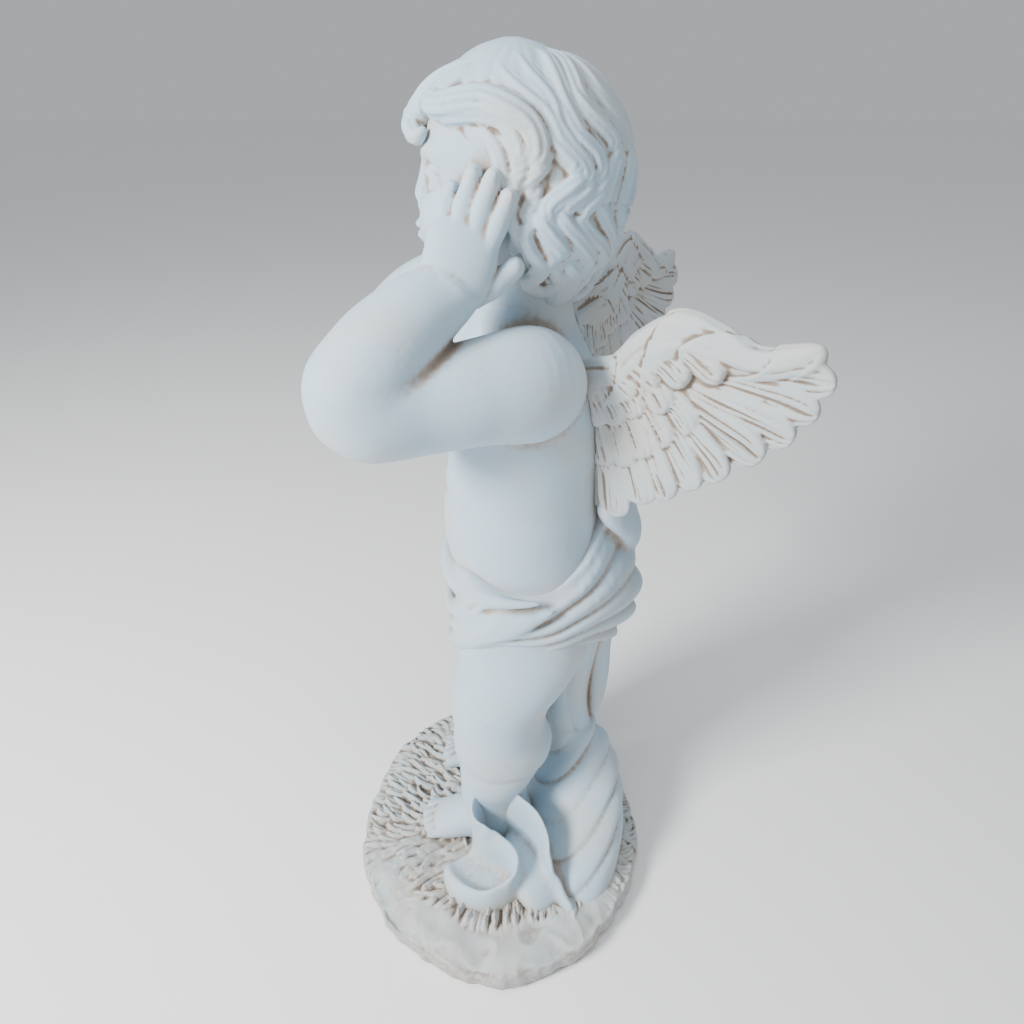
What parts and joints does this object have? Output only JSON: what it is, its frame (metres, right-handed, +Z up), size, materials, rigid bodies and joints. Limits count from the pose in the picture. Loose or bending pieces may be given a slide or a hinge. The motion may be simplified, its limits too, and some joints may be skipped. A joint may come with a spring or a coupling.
{
  "type": "angel_sculpture",
  "caption": "Cast stone-resin cherub standing on a round grass base, hands raised to its cheeks, wings spread, a cloth around the hips falling into folds behind",
  "frame": {"origin": "centre of the base's flat underside", "axes": "+X to the figure's left, +Y behind the figure, +Z up, so that the figure faces -Y"},
  "size_m": [0.3634, 0.3248, 0.6993],
  "materials": {
    "body": "matte painted stone resin, cool off-white with a beige wash in the hollows",
    "wing": "matte painted stone resin, warm off-white with a brown-grey wash in the feathers"
  },
  "bodies": {
    "root": {"figure": "body", "left_wing": "wing", "right_wing": "wing"}
  },
  "joints": []
}
